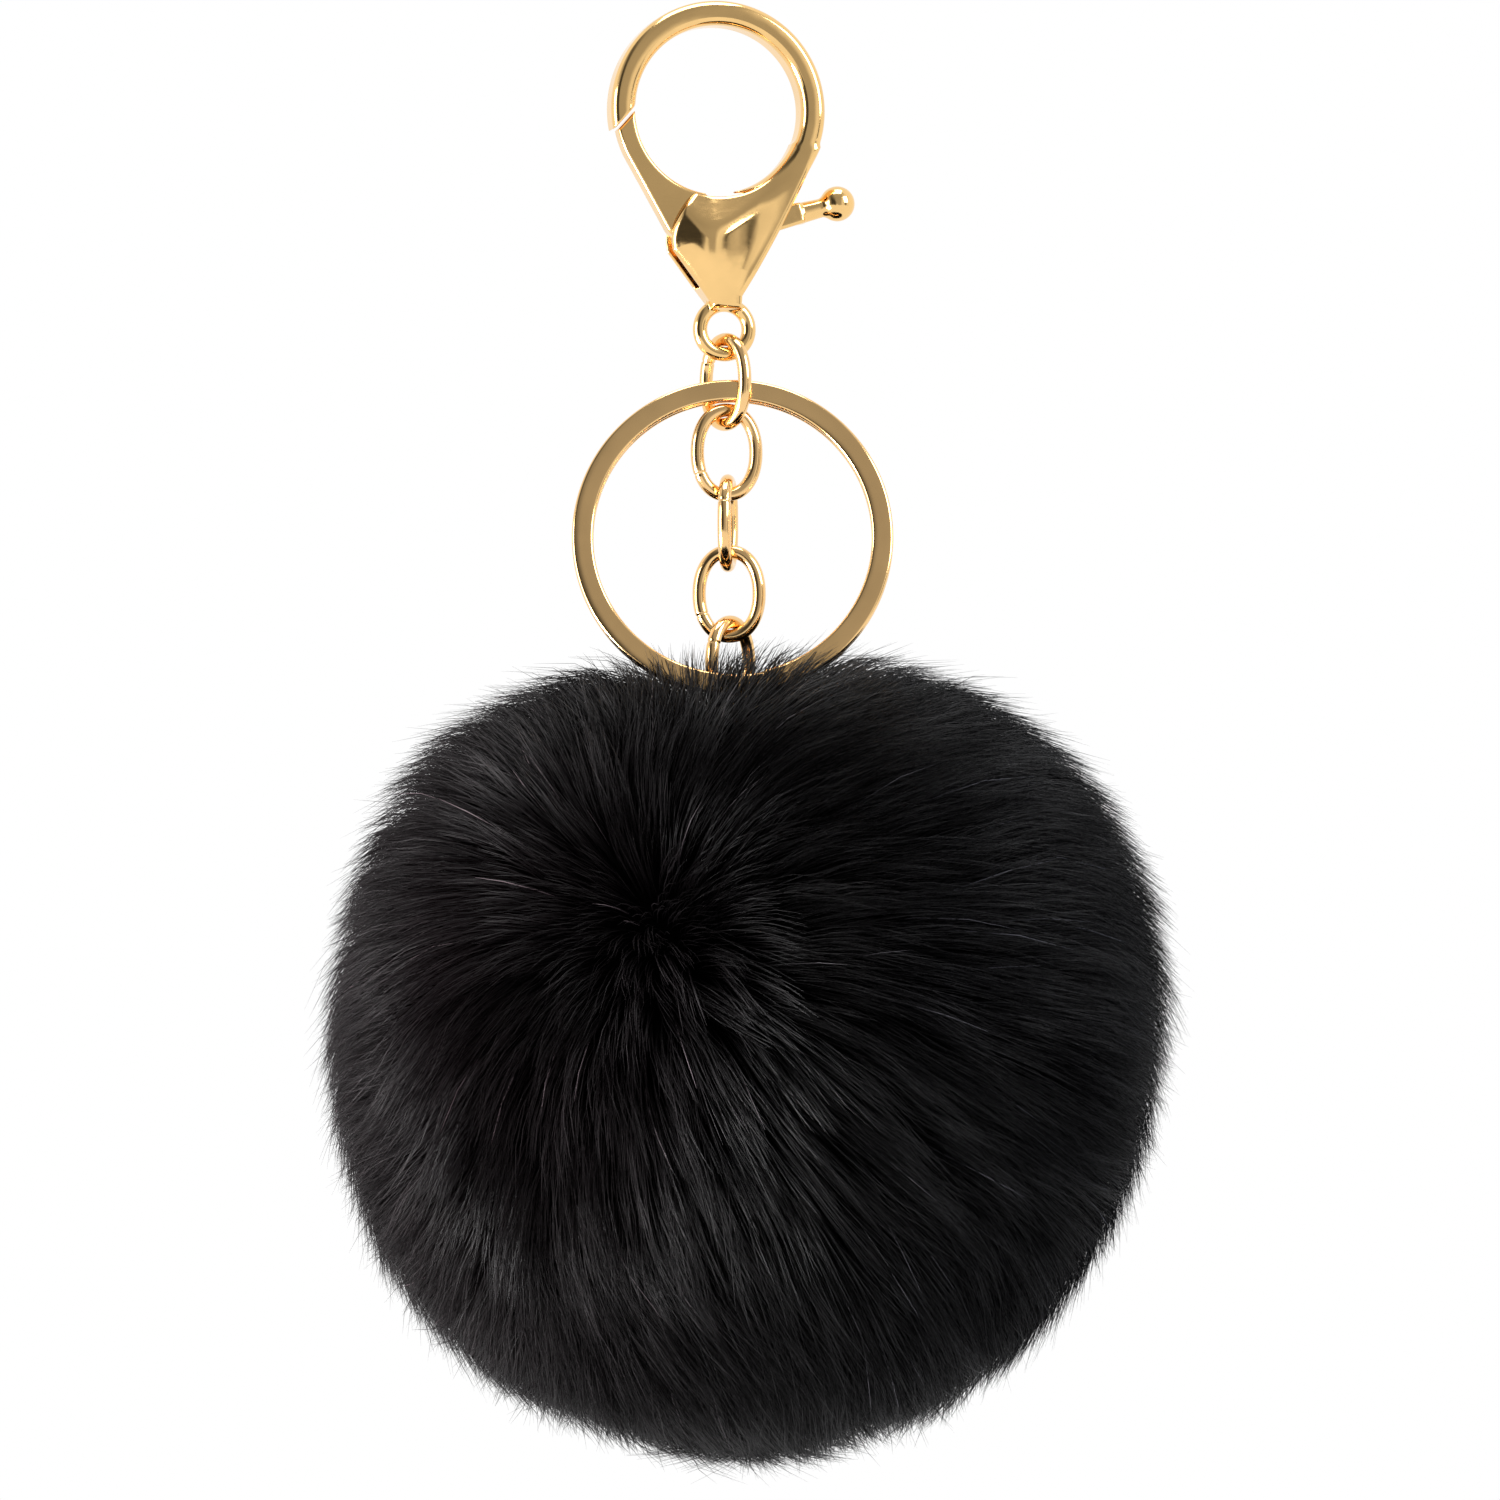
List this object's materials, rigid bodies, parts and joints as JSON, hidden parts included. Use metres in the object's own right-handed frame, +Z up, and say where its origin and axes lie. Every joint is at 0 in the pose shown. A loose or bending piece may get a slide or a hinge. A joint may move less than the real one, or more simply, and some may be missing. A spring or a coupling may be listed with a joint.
{
  "type": "plush keychain",
  "caption": "Fluffy fur pom-pom on a short oval-link chain, with a flat split key ring and a lobster clasp with a sprung gate and ball-ended thumb lever.",
  "frame": {"origin": "centre of the clasp's opening, in the middle plane of the hook", "axes": "+Z up, against the way the keychain hangs; +Y along the axis of the clasp's opening, away from the front; +X to the thumb lever's side"},
  "size_m": [0.08, 0.08, 0.1386],
  "materials": {
    "gold_casting": "polished",
    "gold_wire": "polished",
    "spring_steel": "satin",
    "disc_plastic": "matte",
    "stuffing": "matte",
    "hide": "matte",
    "thread": "matte",
    "fur": "satin"
  },
  "bodies": {
    "clasp": {"clasp_body": "gold_casting", "pivot_rivet": "gold_casting", "gate_spring": "spring_steel"},
    "gate": {"gate_lever": "gold_casting"},
    "link_1": {"chain_link_1": "gold_wire"},
    "link_2": {"chain_link_2": "gold_wire"},
    "link_3": {"chain_link_3": "gold_wire"},
    "link_4": {"chain_link_4": "gold_wire"},
    "link_5": {"chain_link_5": "gold_wire"},
    "key_ring": {"split_ring": "gold_wire"},
    "pompom": {"eye_pin": "gold_wire", "anchor_disc": "disc_plastic", "core_ball": "stuffing", "pelt_cover": "hide", "gather_thread": "thread", "fur_pile": "fur"}
  },
  "joints": [
    {"name": "gate_hinge", "type": "hinge", "parent": "clasp", "child": "gate", "pos_m": [-0.0006, 0, -0.0116], "axis": [0, 1, 0], "range_deg": [0, 25], "stiffness_Nm_per_rad": 0.012, "springref_deg": -20.05, "deforming": ["gate_spring"]},
    {"name": "link_1_swing", "type": "hinge", "parent": "clasp", "child": "link_1", "pos_m": [0.0008, 0, -0.0228], "axis": [1, 0, 0], "range_deg": [-30, 30]},
    {"name": "link_2_swing", "type": "hinge", "parent": "link_1", "child": "link_2", "pos_m": [0.0009, 0, -0.02937], "axis": [0.4695, -0.8829, 0], "range_deg": [0, 15]},
    {"name": "link_3_swing", "type": "hinge", "parent": "link_2", "child": "link_3", "pos_m": [0.00102, 0, -0.03599], "axis": [0.9994, 0.0349, 0], "range_deg": [0, 25]},
    {"name": "link_4_swing", "type": "hinge", "parent": "link_3", "child": "link_4", "pos_m": [0.00114, 0, -0.04261], "axis": [0.3256, 0.9455, 0], "range_deg": [-20, 25]},
    {"name": "link_5_swing", "type": "hinge", "parent": "link_4", "child": "link_5", "pos_m": [0.00126, 0, -0.04923], "axis": [0.9563, -0.2924, 0], "range_deg": [-6, 25]},
    {"name": "pompom_swing", "type": "hinge", "parent": "link_5", "child": "pompom", "pos_m": [0.00138, 0, -0.05585], "axis": [0.766, 0.6428, 0], "range_deg": [-12, 25], "deforming": ["fur_pile"]},
    {"name": "ring_swing", "type": "hinge", "parent": "link_1", "child": "key_ring", "pos_m": [0.0016, 0, -0.02627], "axis": [-0.9781, 0.2079, 0], "range_deg": [0, 40]}
  ]
}
